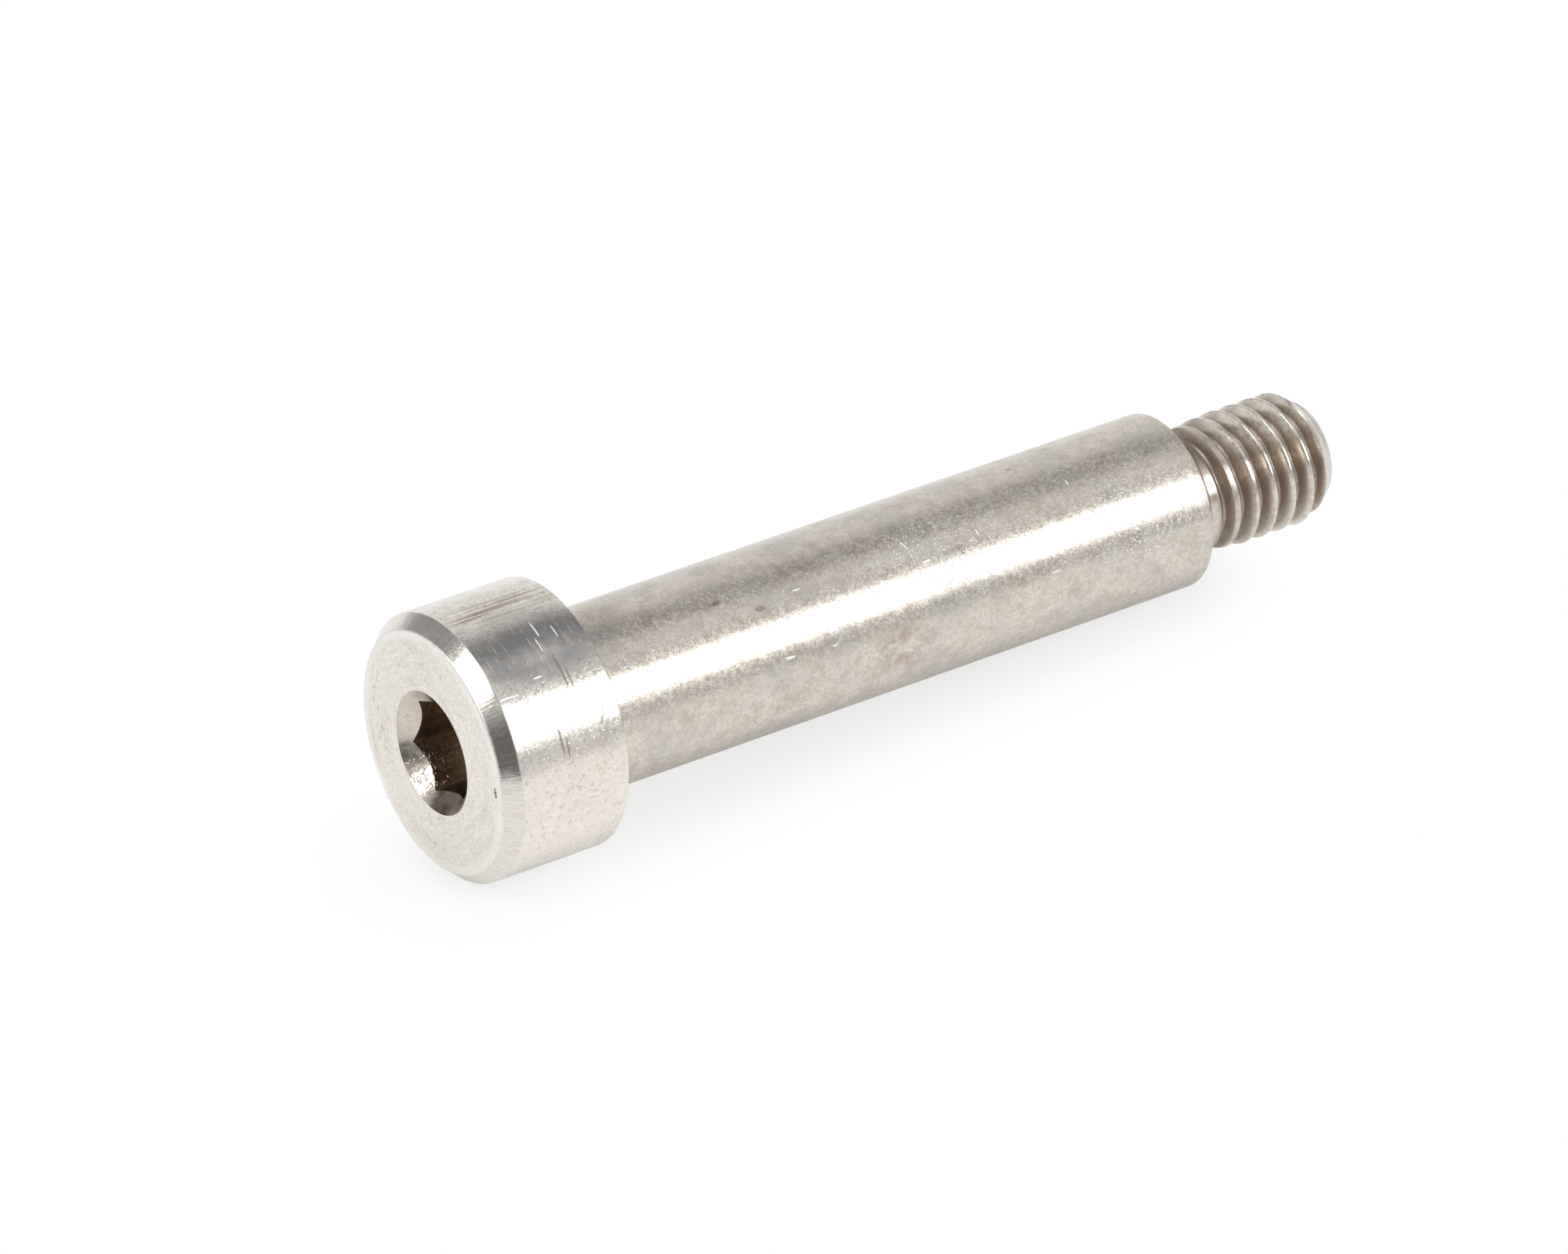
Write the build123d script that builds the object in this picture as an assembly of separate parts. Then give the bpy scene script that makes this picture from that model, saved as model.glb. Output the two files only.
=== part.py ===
from build123d import *
import os
from math import atan, cos, degrees, pi, radians, tan

# Shoulder bolt with a hexagon socket head, turned from one bar of stainless steel.
# Millimetres. The axis is Z and the bolt stands on the flat face of its head: that face is z = 0,
# the shoulder rises from the head and the thread is at the top.

INCH = 25.4

# Head
head_diameter = 0.375 * INCH
head_height = 0.1875 * INCH      # three sixteenths
face_chamfer_width = 0.50        # across the face
face_chamfer_height = 0.57       # along the axis
head_edge_break = 0.06           # on the back edge

# Socket in the head
socket_sides = 6
socket_across_flats = 0.125 * INCH
socket_depth = 2.80              # face to the floor of the hexagon
socket_clocking = 30.0           # turns two corners onto the Y axis
countersink_margin = 0.36        # mouth outside the hexagon's corners
countersink_angle = 90.0
drill_under_flats = 0.10         # drilled hole inside the flats
drill_past_socket = 0.45         # floor of the hexagon to the shoulder of the drill point
drill_point_angle = 118.0

# Shoulder, ground to run in a quarter inch bore
shoulder_diameter = 0.249 * INCH
shoulder_length = 1.0 * INCH     # under the head to the end of the shoulder
shoulder_edge_break = 0.05
relief_width = 0.60              # grinding relief in the corner under the head, along the shoulder
relief_depth = 0.22              # into the shoulder
relief_face_width = 0.12         # across the underside of the head, outside the shoulder
relief_face_depth = 0.10         # into the head

# Neck between the shoulder and the thread: the plain bar that the thread was rolled on
neck_diameter = 0.171 * INCH
neck_length = 0.95
neck_fillet = 0.28
first_crests_length = 1.75       # beyond the neck, where the crests grow to their full height

# Thread, right hand, ten-thirty-two
thread_diameter = 0.187 * INCH   # nominally 0.190 in, less the usual allowance
thread_pitch = INCH / 32
thread_length = 0.243 * INCH     # end of the shoulder to the tip, neck included; nominally 1/4 in
first_crest_height = 1.65        # end of the shoulder to the middle of the first crest, on the +X side
flank_half_angle = 30.0
crest_flat_share = 0.125         # width of the crest, as a share of the pitch
groove_depth_share = 0.6134      # crest to root, as a share of the pitch
full_depth_angle = -50.0         # about the axis from +X, where the groove reaches its full depth
run_out_turns = 0.6              # before that, over which it sinks from the surface
cutter_overrun = 0.03            # how far the groove's cutter stands out past the crests
tip_chamfer_width = 0.58         # across the tip
tip_chamfer_height = 0.80        # along the axis

# Stations along the axis
shoulder_end = head_height + shoulder_length
bolt_end = shoulder_end + thread_length

# Section of the thread's groove: two flanks that close towards a narrow flat root
crest_r = thread_diameter / 2
root_r = crest_r - groove_depth_share * thread_pitch
mouth_r = crest_r + cutter_overrun
flank_slope = tan(radians(flank_half_angle))
mouth_half = thread_pitch * (1 - crest_flat_share) / 2 + cutter_overrun * flank_slope
root_half = mouth_half - (mouth_r - root_r) * flank_slope
first_groove = first_crest_height - thread_pitch / 2


def head_and_shoulder():
    """The head, the ground shoulder and the fillet beyond it, as turned."""
    head_r = head_diameter / 2
    shoulder_r = shoulder_diameter / 2
    neck_r = neck_diameter / 2
    fillet_end = shoulder_end + neck_fillet
    relief_r = shoulder_r - relief_depth
    with BuildPart() as body:
        with BuildSketch(Plane.XZ):
            with BuildLine():
                Polyline(
                    (0, 0),
                    (head_r - face_chamfer_width, 0),
                    (head_r, face_chamfer_height),
                    (head_r, head_height - head_edge_break),
                    (head_r - head_edge_break, head_height),
                    (shoulder_r + relief_face_width, head_height),
                    (relief_r, head_height - relief_face_depth),
                    (relief_r, head_height + relief_width - relief_depth),
                    (shoulder_r, head_height + relief_width),
                    (shoulder_r, shoulder_end - shoulder_edge_break),
                    (shoulder_r - shoulder_edge_break, shoulder_end),
                    (neck_r + neck_fillet, shoulder_end),
                )
                RadiusArc((neck_r + neck_fillet, shoulder_end), (neck_r, fillet_end), neck_fillet)
                Polyline((neck_r, fillet_end), (0, fillet_end), (0, 0))
            make_face()
        revolve(axis=Axis.Z)
    return body.part


def threaded_end():
    """The neck and the thread on it, chamfered at the tip."""
    neck_r = neck_diameter / 2
    neck_start = shoulder_end + neck_fillet
    neck_end = shoulder_end + neck_length
    with BuildPart() as outside:
        with BuildSketch(Plane.XZ):
            Polygon(
                (0, neck_start),
                (neck_r, neck_start),
                (neck_r, neck_end),
                (crest_r, neck_end + first_crests_length),
                (crest_r, bolt_end - tip_chamfer_height),
                (crest_r - tip_chamfer_width, bolt_end),
                (0, bolt_end),
                align=None,
            )
        revolve(axis=Axis.Z)
    return outside.part & grooved_bar()


def grooved_bar():
    """A plain bar as thick as the crests, longer than the thread, with the groove in it."""
    bar = Pos(Z=shoulder_end) * Cylinder(
        crest_r, thread_length + thread_pitch, align=(Align.CENTER, Align.CENTER, Align.MIN)
    )
    return bar - thread_groove() - run_out()


def swept_groove(angle, turns, lift=0.0):
    """The section of the groove, swept up the thread's helix from an angle about the axis.

    With a lift it starts that far outside its place, and sinks to it by the end of the turns.
    """
    base = shoulder_end + first_groove + angle / 360 * thread_pitch
    sink = degrees(atan(lift / (turns * thread_pitch)))
    with BuildPart() as cutter:
        with BuildLine() as helix:
            Helix(
                thread_pitch,
                turns * thread_pitch,
                crest_r + lift,
                center=(0, 0, base),
                cone_angle=-sink,
            )
        with BuildSketch(Plane.XZ):
            Polygon(
                (root_r + lift, base - root_half),
                (mouth_r + lift, base - mouth_half),
                (mouth_r + lift, base + mouth_half),
                (root_r + lift, base + root_half),
                align=None,
            )
        sweep(path=helix.wires()[0], is_frenet=True)
    return Rot(Z=angle) * cutter.part


def thread_groove():
    """The groove at its full depth, from its first turn to past the tip."""
    turns = (thread_length + mouth_half - first_groove) / thread_pitch - full_depth_angle / 360
    return swept_groove(full_depth_angle, turns)


def run_out():
    """The end of the groove beside the neck, where it rises to the surface."""
    lift = neck_diameter / 2 - root_r + cutter_overrun
    return swept_groove(full_depth_angle - 360 * run_out_turns, run_out_turns, lift)


def socket():
    """The hexagon, its countersink and the drilled hole behind it, as the space that they leave."""
    flat_r = socket_across_flats / 2
    corner_r = flat_r / cos(pi / socket_sides)
    countersink_r = corner_r + countersink_margin
    countersink_depth = countersink_r / tan(radians(countersink_angle / 2))
    drill_r = flat_r - drill_under_flats
    drill_depth = socket_depth + drill_past_socket
    drill_point = drill_r / tan(radians(drill_point_angle / 2))
    with BuildPart() as space:
        with BuildSketch():
            RegularPolygon(corner_r, socket_sides, rotation=socket_clocking)
        extrude(amount=socket_depth)
        with BuildSketch(Plane.XZ):
            Polygon((0, 0), (countersink_r, 0), (0, countersink_depth), align=None)
        revolve(axis=Axis.Z)
        with BuildSketch(Plane.XZ):
            Polygon(
                (0, 0),
                (drill_r, 0),
                (drill_r, drill_depth),
                (0, drill_depth + drill_point),
                align=None,
            )
        revolve(axis=Axis.Z)
    return space.part


bolt = head_and_shoulder() + threaded_end() - socket()

os.makedirs("parts", exist_ok=True)
export_step(bolt, "parts/shoulder_bolt.step")
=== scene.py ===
from math import atan, ceil, cos, pi, radians, sin, tan

import bmesh
import bpy
from mathutils import Matrix, Vector


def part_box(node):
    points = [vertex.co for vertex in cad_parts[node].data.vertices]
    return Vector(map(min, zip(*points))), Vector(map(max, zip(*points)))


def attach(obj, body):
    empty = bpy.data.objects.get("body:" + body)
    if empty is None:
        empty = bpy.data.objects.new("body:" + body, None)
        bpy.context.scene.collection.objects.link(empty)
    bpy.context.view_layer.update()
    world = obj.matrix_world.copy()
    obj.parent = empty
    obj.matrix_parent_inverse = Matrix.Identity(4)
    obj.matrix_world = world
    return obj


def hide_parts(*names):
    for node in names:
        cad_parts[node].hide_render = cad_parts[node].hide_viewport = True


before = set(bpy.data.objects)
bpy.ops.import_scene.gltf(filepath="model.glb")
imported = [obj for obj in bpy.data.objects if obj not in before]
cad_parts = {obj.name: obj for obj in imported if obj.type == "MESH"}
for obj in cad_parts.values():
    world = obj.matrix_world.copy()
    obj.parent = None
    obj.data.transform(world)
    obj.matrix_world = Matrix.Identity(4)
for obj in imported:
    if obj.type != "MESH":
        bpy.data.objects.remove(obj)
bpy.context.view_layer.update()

# The bolt stands on the flat face of its head: the axis is Z, the face is at z = 0 and the thread is on top.
bolt_low, bolt_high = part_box("shoulder_bolt")

MM = 0.001
INCH = 25.4 * MM

# Head, from the frame's box
HEAD_R = (bolt_high.x - bolt_low.x) / 2
BOLT_END = bolt_high.z
HEAD_HEIGHT = 0.1875 * INCH
FACE_CHAMFER_WIDTH = 0.50 * MM
FACE_CHAMFER_HEIGHT = 0.57 * MM
FACE_RIM_ROUNDING = 0.12 * MM
FACE_RIM_WIDTH = 0.09 * MM             # of the chamfer, with the face's finish
CHAMFER_ROUNDING = 0.07 * MM
CHAMFER_FINISH_HEIGHT = 0.05 * MM      # of the side, with the chamfer's finish
HEAD_EDGE_BREAK = 0.06 * MM
SIDE_FINISH_WIDTH = 0.02 * MM          # of the back, with the side's finish

# Socket
HEXAGON_SIDE = pi / 3                  # angle that one flat takes
FLAT_R = 0.125 * INCH / 2
CORNER_R = FLAT_R / cos(HEXAGON_SIDE / 2)
MOUTH_R = CORNER_R + 0.36 * MM         # of the countersink, cut at 45 degrees
SOCKET_DEPTH = 2.80 * MM
DRILL_R = FLAT_R - 0.10 * MM
DRILL_DEPTH = SOCKET_DEPTH + 0.45 * MM
DRILL_POINT_ANGLE = radians(118)
DRILL_POINT = DRILL_R / tan(DRILL_POINT_ANGLE / 2)

# Shoulder
SHOULDER_R = 0.249 * INCH / 2
SHOULDER_END = HEAD_HEIGHT + 1.0 * INCH
SHOULDER_EDGE_BREAK = 0.05 * MM
RELIEF_WIDTH = 0.60 * MM
RELIEF_R = SHOULDER_R - 0.22 * MM
RELIEF_FACE_WIDTH = 0.12 * MM
RELIEF_FACE_DEPTH = 0.10 * MM
RELIEF_ROUNDING = 0.012 * MM

# Neck and thread
CREST_R = 0.187 * INCH / 2
PITCH = INCH / 32
FLANK_DEG = 30.0                       # between a flank and a plane across the axis
ROOT_R = CREST_R - 0.6134 * PITCH
FIRST_CREST = 1.65 * MM                # from the shoulder's end, on the +X side
CREST_FLAT = PITCH / 8
CREST_ROUNDING = 0.05 * MM
ROOT_ROUNDING = 0.1443 * PITCH
TURNS_BEFORE = 3                       # swept below that crest, so that the helix starts inside the shoulder
FULL_DEPTH_DEG = -50.0                 # angle where the groove under the first crest reaches its full depth
RUN_OUT_TURNS = 0.6
RUN_OUT_RISE = 0.03 * MM               # the run-out starts this far outside the neck
NECK_R = 0.171 * INCH / 2
NECK_END = SHOULDER_END + 0.95 * MM
NECK_FILLET = 0.28 * MM
FIRST_CRESTS_LENGTH = 1.75 * MM
THREAD_EDGE_ROUNDING = 0.02 * MM
TIP_R = CREST_R - 0.58 * MM
TIP_CHAMFER_HEIGHT = 0.80 * MM

# Facets
AROUND = 240                           # round the bolt, a multiple of the hexagon's six sides
ROW_GAP = 0.4 * MM                     # at most, along a turned outline
SHOULDER_ROW_GAP = 0.3 * MM
ROUNDING_STEPS = 3
TOOTH_STEPS = 4                        # in half a root, in a flank and in half a crest
FILLET_STEPS = 6
WELD = 0.3e-6                          # rows that meet closer than this are one
SHARP_ANGLE = radians(25)


# ---------------------------------------------------------------- node trees

class Output:
    """A node's output. Sums, differences, products and quotients of outputs become Math nodes."""

    def __init__(self, nodes, socket):
        self.nodes = nodes
        self.socket = socket

    def __add__(self, other):
        return self.nodes.math("ADD", self, other)

    def __sub__(self, other):
        return self.nodes.math("SUBTRACT", self, other)

    def __rsub__(self, other):
        return self.nodes.math("SUBTRACT", other, self)

    def __mul__(self, other):
        return self.nodes.math("MULTIPLY", self, other)

    def __truediv__(self, other):
        return self.nodes.math("DIVIDE", self, other)

    def at_least(self, other):
        return self.nodes.math("MAXIMUM", self, other)

    def at_most(self, other):
        return self.nodes.math("MINIMUM", self, other)

    def ramp(self, low, high, start=0.0, end=1.0):
        """Goes softly from start to end while the output goes from low to high."""
        return self.nodes.add(
            "ShaderNodeMapRange", self, low, high, start, end, interpolation_type="SMOOTHSTEP")


class Nodes:
    """Writes a node tree: each call makes a node, sets or links its inputs and gives back its output."""

    def __init__(self, tree):
        self.tree = tree

    def add(self, kind, *inputs, out=0, named=None, **settings):
        node = self.tree.nodes.new(kind)
        for name, value in settings.items():
            setattr(node, name, value)
        for slot, value in [*enumerate(inputs), *(named or {}).items()]:
            self.feed(node, slot, value)
        return Output(self, node.outputs[out])

    def feed(self, node, slot, value):
        """Links an output to a node's input, or sets the input. None leaves it as it is."""
        if isinstance(value, Output):
            self.tree.links.new(value.socket, node.inputs[slot])
        elif value is not None:
            node.inputs[slot].default_value = value

    def math(self, operation, *inputs):
        return self.add("ShaderNodeMath", *inputs, operation=operation)

    def vector(self, operation, *inputs):
        is_number = operation in ("LENGTH", "DISTANCE", "DOT_PRODUCT")
        out = "Value" if is_number else "Vector"
        return self.add("ShaderNodeVectorMath", *inputs, operation=operation, out=out)

    def split(self, vector):
        """The three parts of a vector."""
        node = self.tree.nodes.new("ShaderNodeSeparateXYZ")
        self.feed(node, 0, vector)
        return [Output(self, part) for part in node.outputs]


def placed(name, data):
    """A new object with this data, in the scene."""
    thing = bpy.data.objects.new(name, data)
    bpy.context.scene.collection.objects.link(thing)
    return thing


def geometry_tree(name, inputs):
    """An empty Geometry Nodes tree: its nodes, what it is given by name, and its last node."""
    tree = bpy.data.node_groups.new(name, "GeometryNodeTree")
    for label, kind in {"Geometry": "NodeSocketGeometry", **inputs}.items():
        tree.interface.new_socket(label, in_out="INPUT", socket_type=kind)
    tree.interface.new_socket("Geometry", in_out="OUTPUT", socket_type="NodeSocketGeometry")
    nodes = Nodes(tree)
    entry = tree.nodes.new("NodeGroupInput")
    given = {socket.name: Output(nodes, socket) for socket in entry.outputs}
    return nodes, given, tree.nodes.new("NodeGroupOutput")


def evaluated(tree, section, values, name):
    """Runs a tree on a section and gives the result as a plain mesh."""
    holder = placed(name, section)
    modifier = holder.modifiers.new(name, "NODES")
    modifier.node_group = tree
    for item in tree.interface.items_tree:
        if item.in_out == "INPUT" and item.name in values:
            modifier[item.identifier] = values[item.name]
    holder.update_tag()
    graph = bpy.context.evaluated_depsgraph_get()
    mesh = bpy.data.meshes.new_from_object(holder.evaluated_get(graph), depsgraph=graph)
    bpy.data.objects.remove(holder)
    return mesh


def section_mesh(points, name):
    """A row of points (radius, height) in the XZ plane, joined by edges."""
    mesh = bpy.data.meshes.new(name)
    edges = [(k, k + 1) for k in range(len(points) - 1)]
    mesh.from_pydata([(radius, 0, height) for radius, height in points], edges, [])
    return mesh


def swept_grid(nodes, rows):
    """The grid that a section is swept on, with each point's row and its angle round the axis."""
    grid = nodes.add("GeometryNodeMeshGrid", 1.0, 1.0, AROUND + 1, rows)
    index = nodes.add("GeometryNodeInputIndex")
    column = nodes.math("FLOOR", (index + 0.5) / rows)
    row = index - column * rows
    return grid, row, column * (2 * pi / AROUND)


def section_point(nodes, section, row):
    """Radius and height of the section's point that belongs to a row."""
    place = nodes.add("GeometryNodeInputPosition")
    point = nodes.add("GeometryNodeSampleIndex", section, place, row, data_type="FLOAT_VECTOR")
    radius, _, height = nodes.split(point)
    return radius, height


def close_surface(nodes, grid, radius, angle, height, finish, last):
    """Puts the grid's points round the axis, welds the seam and gives the surface its finish."""
    x = radius * nodes.math("COSINE", angle)
    y = radius * nodes.math("SINE", angle)
    place = nodes.add("ShaderNodeCombineXYZ", x, y, height)
    swept = nodes.add("GeometryNodeSetPosition", grid, None, place)
    welded = nodes.add("GeometryNodeMergeByDistance", swept, None, WELD)
    real = nodes.add("GeometryNodeRealizeInstances", welded)
    nodes.feed(last, 0, nodes.add("GeometryNodeSetMaterial", real, None, finish))


def turning_tree():
    """Spins a section about the axis, as a lathe does."""
    nodes, given, last = geometry_tree("Turning", {"Rows": "NodeSocketInt", "Finish": "NodeSocketMaterial"})
    grid, row, angle = swept_grid(nodes, given["Rows"])
    radius, height = section_point(nodes, given["Geometry"], row)
    close_surface(nodes, grid, radius, angle, height, given["Finish"], last)
    return nodes.tree


THREADING_SIZES = (
    "Pitch", "First root", "Full depth turn", "Run-out turns", "Run-out depth", "Crest radius",
    "Neck radius", "Neck start", "Neck end", "Neck slope", "Tip radius", "Tip", "Tip slope", "Edge rounding")


def threading_tree():
    """Sweeps a tooth's section up a helix and holds it inside the neck, the low first crests and the tip."""
    nodes, given, last = geometry_tree("Threading", {
        "Rows": "NodeSocketInt",
        "Rows in a tooth": "NodeSocketInt",
        **{size: "NodeSocketFloat" for size in THREADING_SIZES},
        "Finish": "NodeSocketMaterial",
    })
    grid, row, angle = swept_grid(nodes, given["Rows"])
    tooth = nodes.math("FLOOR", (row + 0.5) / given["Rows in a tooth"])
    step = row - tooth * given["Rows in a tooth"]
    tooth_radius, tooth_height = section_point(nodes, given["Geometry"], step)
    turn = tooth + angle / (2 * pi)
    free = turn * given["Pitch"] + tooth_height + given["First root"]
    height = free.at_least(given["Neck start"]).at_most(given["Tip"])
    # The groove's first part rises out of the bar: the further before its full depth, the shallower it lies.
    groove_turn = turn + nodes.math("ROUND", tooth_height / given["Pitch"])
    before = (given["Full depth turn"] - groove_turn).at_least(0.0)
    groove = before / given["Run-out turns"] * given["Run-out depth"] + tooth_radius
    past_neck = (height - given["Neck end"]).at_least(0.0)
    rise = past_neck * given["Neck slope"] + given["Neck radius"]
    chamfer = (given["Tip"] - height) * given["Tip slope"] + given["Tip radius"]
    bar = given["Crest radius"].at_most(rise)
    bar = nodes.math("SMOOTH_MIN", bar, chamfer, given["Edge rounding"])
    radius = nodes.math("SMOOTH_MIN", groove, bar, given["Edge rounding"])
    close_surface(nodes, grid, radius, angle, height, given["Finish"], last)
    return nodes.tree


# ---------------------------------------------------------------- outlines

def line(start, end, steps):
    """Points after start up to end."""
    return [tuple(a + (b - a) * k / steps for a, b in zip(start, end)) for k in range(1, steps + 1)]


def arc(centre, radius, start_deg, end_deg, steps):
    """Points after the start of a round corner up to its end."""
    turn = (end_deg - start_deg) / steps
    angles = [radians(start_deg + turn * k) for k in range(1, steps + 1)]
    return [(centre[0] + radius * cos(angle), centre[1] + radius * sin(angle)) for angle in angles]


def eased_corner(before, here, after, rounding):
    """Where an outline leaves for a corner, and the points that take it round."""
    into = (here - before).normalized()
    out = (after - here).normalized()
    back = rounding * tan(into.angle(out) / 2)
    points = []
    for step in range(1, ROUNDING_STEPS + 1):
        share = step / ROUNDING_STEPS
        first = here - into * back * (1 - share)
        second = here + out * back * share
        points.append(tuple(first + (second - first) * share))
    return here - into * back, points


def rounded(corners, roundings, row_gap):
    """An outline through the corners, each eased by its own rounding, with rows along the flats."""
    corners = [Vector(corner) for corner in corners]
    points = [tuple(corners[0])]
    for k in range(1, len(corners)):
        end = corners[k]
        eased = []
        if roundings[k]:
            end, eased = eased_corner(corners[k - 1], end, corners[k + 1], roundings[k])
        start = Vector(points[-1])
        points += line(start, end, max(2, ceil((end - start).length / row_gap)))
        points += eased
    return points


def tooth_outline():
    """One pitch of the thread, from the middle of a root over a crest to the next root."""
    root = arc((ROOT_R + ROOT_ROUNDING, 0.0), ROOT_ROUNDING, 180, 90 + FLANK_DEG, TOOTH_STEPS)
    half_crest = CREST_FLAT / 2 - CREST_ROUNDING * tan(radians(FLANK_DEG))
    crest_centre = (CREST_R - CREST_ROUNDING, PITCH / 2 - half_crest)
    crest = arc(crest_centre, CREST_ROUNDING, FLANK_DEG - 90, 0, TOOTH_STEPS)
    flank_top = arc(crest_centre, CREST_ROUNDING, 0, FLANK_DEG - 90, 1)[0]
    rise = [(ROOT_R, 0.0)] + root + line(root[-1], flank_top, TOOTH_STEPS) + crest
    fall = [(radius, PITCH - height) for radius, height in reversed(rise)]
    return rise + [(CREST_R, PITCH / 2)] + fall


def hexagon_radius(angle):
    """Distance from the axis to the hexagon's wall. The flats face X, so two corners are on Y."""
    return FLAT_R / cos((angle + HEXAGON_SIDE / 2) % HEXAGON_SIDE - HEXAGON_SIDE / 2)


def socket_rings():
    """Rings of points (radius, height) from the countersink's mouth down to the drilled hole's point."""
    walls = [hexagon_radius(2 * pi * k / AROUND) for k in range(AROUND)]
    rings = [[(MOUTH_R, 0.0)] * AROUND]
    stretches = (
        (8, [(wall, MOUTH_R - wall) for wall in walls]),       # the countersink, down to the flats
        (8, [(wall, SOCKET_DEPTH) for wall in walls]),
        (3, [(DRILL_R, SOCKET_DEPTH)] * AROUND),
        (1, [(DRILL_R, DRILL_DEPTH)] * AROUND),
        (6, [(0.0, DRILL_DEPTH + DRILL_POINT)] * AROUND))
    for steps, end in stretches:
        columns = [line(top, bottom, steps) for top, bottom in zip(rings[-1], end)]
        rings += zip(*columns)
    return rings


# ---------------------------------------------------------------- finishes

WARM_STEEL = (0.61, 0.55, 0.475)
CLEAN_STEEL = (0.75, 0.705, 0.645)
GREY_STEEL = (0.46, 0.46, 0.46)
BRIGHT_STEEL = (0.80, 0.775, 0.735)
PALE_STEEL = (0.88, 0.855, 0.81)
CREAM_STEEL = (0.73, 0.675, 0.60)
ROSE_PAINTED_LIGHT = (0.90, 0.82, 0.74)
RIM_STEEL = (0.92, 0.91, 0.88)
FRESH_STEEL = (0.95, 0.95, 0.93)
RUBBED_STEEL = (0.28, 0.285, 0.30)
RUBBED_BROWN = (0.50, 0.465, 0.43)
BROWN_STAIN_AND_SHADE = (0.30, 0.235, 0.185)
TAN_STAIN_AND_SHADE = (0.33, 0.265, 0.215)
GOLD_STAIN = (0.62, 0.50, 0.36)
RED_STAIN_AND_LIGHT = (0.34, 0.22, 0.18)
WET_OIL = (0.42, 0.315, 0.235)
DARK_OIL_AND_REFLECTION = (0.13, 0.095, 0.07)

# Marks that stand out, placed one by one: angle round the axis from +X in degrees and height, then their
# reach around and along, all in millimetres, and where they need it, how soft their border is and how they
# lean
BAR_MARKS = ((-43.0, 2.4, 0.19, 2.4), (-46.0, 3.5, 0.10, 1.4), (-40.5, 1.6, 0.08, 1.2))
HEAD_SCRATCHES = (
    (-3.0, 3.20, 0.75, 0.05, 0.4), (1.0, 3.38, 0.40, 0.04, 0.4), (25.0, 2.32, 0.55, 0.05, 0.4),
    (28.0, 2.52, 0.45, 0.04, 0.4), (20.0, 4.05, 0.40, 0.05, 0.4, 0.35))
HEAD_NICKS = (
    (1.0, 0.95, 0.05, 0.42, 0.5, -0.8), (-3.0, 2.30, 0.05, 0.22, 0.3, 0.7), (-16.0, 2.95, 0.34, 0.04, 0.4),
    (-24.0, 3.15, 0.40, 0.04, 0.4), (-20.0, 3.75, 0.30, 0.035, 0.4))
SHOULDER_TICKS = (
    (-14.0, 18.2, 0.24, 0.045, 0.3, -0.3), (-7.0, 21.0, 0.17, 0.045, 0.3), (0.0, 18.7, 0.06, 0.20, 0.3, 0.5),
    (29.0, 12.5, 0.06, 0.22, 0.3, -0.6), (-19.0, 25.2, 0.14, 0.04, 0.3), (33.0, 23.5, 0.045, 0.20, 0.3, 0.4),
    (-10.0, 13.6, 0.045, 0.20, 0.3, -0.5), (31.0, 14.3, 0.045, 0.12, 0.3))
SHOULDER_SPOTS = (
    (-19.0, 10.6, 0.14, 0.24), (-6.0, 12.0, 0.16, 0.30), (-47.0, 23.8, 0.10, 0.14),
    (1.0, 20.1, 0.30, 0.045, 0.4, -0.4))


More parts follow.
